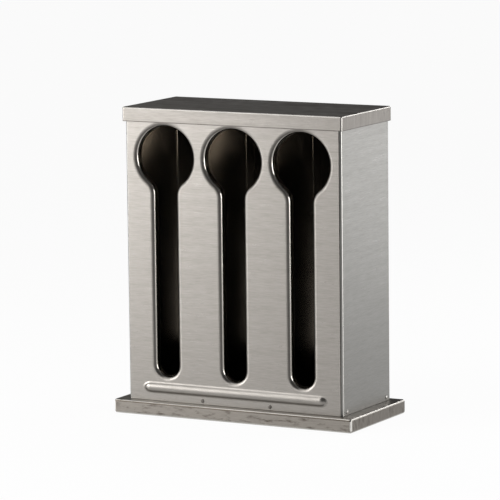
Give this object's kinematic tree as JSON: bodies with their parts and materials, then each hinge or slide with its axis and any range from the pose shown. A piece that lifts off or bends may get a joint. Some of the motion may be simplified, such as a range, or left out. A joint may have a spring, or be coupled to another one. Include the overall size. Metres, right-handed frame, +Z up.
{
  "type": "spoon holder",
  "caption": "Free-standing brushed steel spoon holder with keyhole-shaped front openings over separate bays, a lift-off pan lid and a wider pan base.",
  "frame": {"origin": "middle of the underside of the base, on the surface that the holder stands on", "axes": "+Z up, -Y toward the front with the keyholes, +X to the right as seen from the front"},
  "size_m": [0.2506, 0.1128, 0.29],
  "materials": {
    "steel_lid": "brushed along the width",
    "steel_wall": "brushed along the depth",
    "steel_front": "brushed along the width",
    "steel_inside": "dull mill finish",
    "steel_base": "brushed along the width",
    "steel_rivet": "plain"
  },
  "bodies": {
    "holder": {"body_shell": "steel_wall", "front_panel": "steel_front", "left_divider": "steel_inside", "right_divider": "steel_inside", "floor_pan": "steel_inside", "base_plinth": "steel_base", "front_rivets": "steel_rivet", "left_rivets": "steel_rivet", "right_rivets": "steel_rivet", "back_rivets": "steel_rivet", "floor_rivets": "steel_rivet"},
    "lid": {"lid": "steel_lid"}
  },
  "joints": [
    {"name": "lid_lift", "type": "slide", "parent": "holder", "child": "lid", "axis": [0, 0, 1], "range_m": [0, 0.06]}
  ]
}
